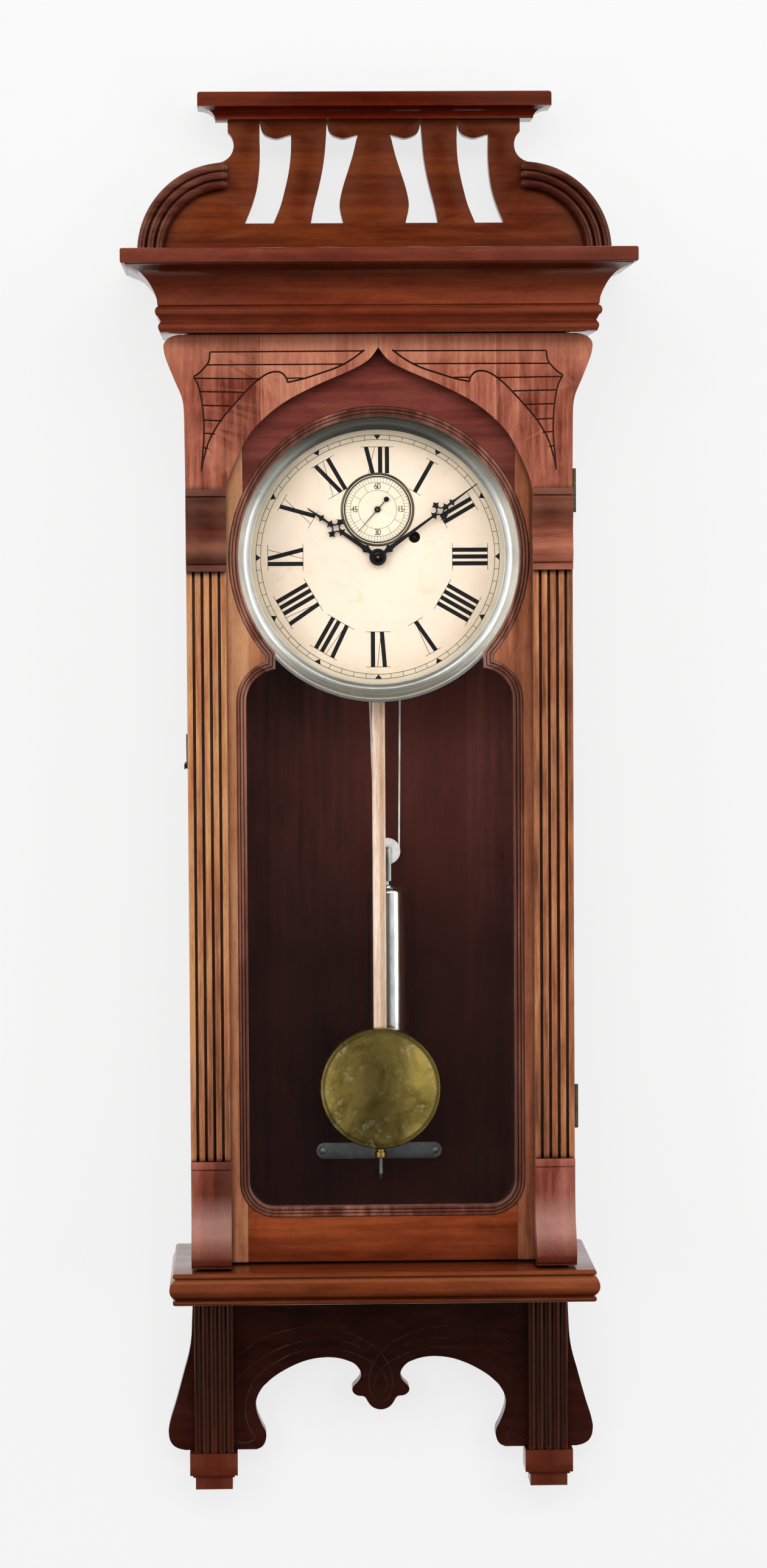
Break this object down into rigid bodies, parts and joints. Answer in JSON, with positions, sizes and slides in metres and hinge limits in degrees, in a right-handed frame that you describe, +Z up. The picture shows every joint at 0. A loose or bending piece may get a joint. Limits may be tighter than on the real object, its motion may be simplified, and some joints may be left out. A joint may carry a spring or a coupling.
{
  "type": "wall regulator clock",
  "caption": "Wooden wall regulator clock with a pierced crest, keyhole glass door, white dial, seconds hand, weight drive and long pendulum",
  "frame": {"origin": "centre of the hanger hole, on the wall plane", "axes": "+Z up, the front faces -Y, +X to the right as seen from the front"},
  "size_m": [0.485, 0.2105, 1.3655],
  "materials": {
    "walnut": "satin varnish",
    "walnut_front": "satin varnish, redder veneer",
    "walnut_dark": "satin varnish, dark",
    "enamel": "fired cream white",
    "nickel": "polished nickel",
    "brass": "polished, lacquered",
    "steel": "fine brushed",
    "blued": "blued steel",
    "black": "black, satin",
    "iron": "painted black",
    "rod_wood": "varnished, pale",
    "cord": "twisted gut",
    "glass": "clear"
  },
  "bodies": {
    "case": {"back_board": "walnut_dark", "side_boards": "walnut", "top_board": "walnut_dark", "hanger_plate": "steel", "cornice_slab": "walnut", "cornice_moulding": "walnut", "crest_board": "walnut", "crest_arches": "walnut", "crest_cap": "walnut", "ledge": "walnut", "apron_board": "walnut_front", "apron_pilasters": "walnut", "movement_bracket": "iron", "back_plate": "brass", "front_plate": "brass", "pillars": "brass", "dial_plate": "enamel", "dial_bezel": "nickel", "seconds_rim": "steel", "suspension_cock": "brass", "beat_plate": "blued", "screws": "steel", "case_hinges": "brass", "cord_left": "cord", "cord_right": "cord"},
    "door": {"door_stiles": "walnut_front", "door_top_rail": "walnut_dark", "door_bottom_rail": "walnut_front", "opening_moulding": "walnut", "door_glass": "glass", "glass_strips": "walnut_dark", "spandrels": "walnut_front", "capitals": "walnut", "door_pilasters": "walnut_front", "foot_blocks": "walnut", "door_hinges": "brass", "catch_pin": "brass"},
    "hook": {"door_hook": "brass"},
    "centre": {"centre_wheel": "brass", "cannon_pinion": "brass", "minute_hand": "black", "hand_nut": "steel"},
    "third": {"third_wheel": "brass"},
    "escape": {"escape_wheel": "brass", "seconds_hand": "black"},
    "minute": {"minute_wheel": "brass"},
    "hour": {"hour_wheel": "brass", "hour_hand": "black"},
    "great": {"great_wheel": "brass"},
    "click": {"click": "steel"},
    "barrel": {"drum": "brass", "cord_winding": "cord"},
    "anchor": {"anchor": "steel"},
    "pendulum": {"pendulum_stick": "rod_wood", "pendulum_fittings": "steel"},
    "bob": {"bob": "brass"},
    "nut": {"rating_nut": "brass"},
    "weight": {"weight": "brass", "cord_bight": "cord"},
    "pulley": {"pulley": "nickel"}
  },
  "joints": [
    {"name": "door_swing", "type": "hinge", "parent": "case", "child": "door", "pos_m": [0.1871, -0.112, -0.5], "axis": [0, 0, 1], "range_deg": [0, 100]},
    {"name": "hook_drop", "type": "hinge", "parent": "case", "child": "hook", "pos_m": [-0.185, -0.098, -0.507], "axis": [1, 0, 0], "range_deg": [0, 50]},
    {"name": "centre_turn", "type": "hinge", "parent": "case", "child": "centre", "pos_m": [0, -0.04, -0.308], "axis": [0, 1, 0], "continuous": true},
    {"name": "third_turn", "type": "hinge", "parent": "case", "child": "third", "pos_m": [-0.0087, -0.04, -0.28435], "axis": [0, 1, 0], "continuous": true},
    {"name": "escape_turn", "type": "hinge", "parent": "case", "child": "escape", "pos_m": [0, -0.04, -0.2622], "axis": [0, 1, 0], "continuous": true},
    {"name": "minute_wheel_turn", "type": "hinge", "parent": "case", "child": "minute", "pos_m": [0.02, -0.08, -0.308], "axis": [0, 1, 0], "continuous": true},
    {"name": "hour_turn", "type": "hinge", "parent": "case", "child": "hour", "pos_m": [0, -0.084, -0.308], "axis": [0, 1, 0], "continuous": true},
    {"name": "great_turn", "type": "hinge", "parent": "case", "child": "great", "pos_m": [0.03542, -0.049, -0.28901], "axis": [0, 1, 0], "continuous": true},
    {"name": "click_lift", "type": "hinge", "parent": "great", "child": "click", "pos_m": [0.03542, -0.047, -0.27301], "axis": [0, 1, 0], "range_deg": [0, 8]},
    {"name": "drum_turn", "type": "hinge", "parent": "case", "child": "barrel", "pos_m": [0.03542, -0.035, -0.28901], "axis": [0, 1, 0], "range_deg": [-1411.5, 2016.4]},
    {"name": "anchor_rock", "type": "hinge", "parent": "case", "child": "anchor", "pos_m": [0, -0.054, -0.2398], "axis": [0, 1, 0], "range_deg": [-3, 3]},
    {"name": "pendulum_swing", "type": "hinge", "parent": "case", "child": "pendulum", "pos_m": [0, -0.072, -0.2398], "axis": [0, 1, 0], "range_deg": [-3, 3]},
    {"name": "bob_slide", "type": "slide", "parent": "pendulum", "child": "bob", "axis": [0, 0, 1], "range_m": [-0.004, 0.004]},
    {"name": "nut_turn", "type": "hinge", "parent": "bob", "child": "nut", "pos_m": [0, -0.072, -0.8888], "axis": [0, 0, 1], "range_deg": [-1800, 1800]},
    {"name": "weight_slide", "type": "slide", "parent": "case", "child": "weight", "axis": [0, 0, 1], "range_m": [-0.14, 0.2], "deforming": ["cord_left", "cord_right"]},
    {"name": "pulley_turn", "type": "hinge", "parent": "weight", "child": "pulley", "pos_m": [0.009, -0.0355, -0.596], "axis": [0, 1, 0], "range_deg": [-990.8, 693.6]}
  ],
  "couplings": [
    {"joint": "third_turn", "follows": "centre_turn", "ratio": -8},
    {"joint": "escape_turn", "follows": "centre_turn", "ratio": 60},
    {"joint": "great_turn", "follows": "centre_turn", "ratio": -0.066667},
    {"joint": "minute_wheel_turn", "follows": "centre_turn", "ratio": -0.33333},
    {"joint": "hour_turn", "follows": "centre_turn", "ratio": 0.083333},
    {"joint": "anchor_rock", "follows": "pendulum_swing", "ratio": 1},
    {"joint": "drum_turn", "follows": "weight_slide", "rad_per_m": 175.44},
    {"joint": "pulley_turn", "follows": "weight_slide", "rad_per_m": -86.207},
    {"joint": "nut_turn", "follows": "bob_slide", "rad_per_m": 7854}
  ]
}
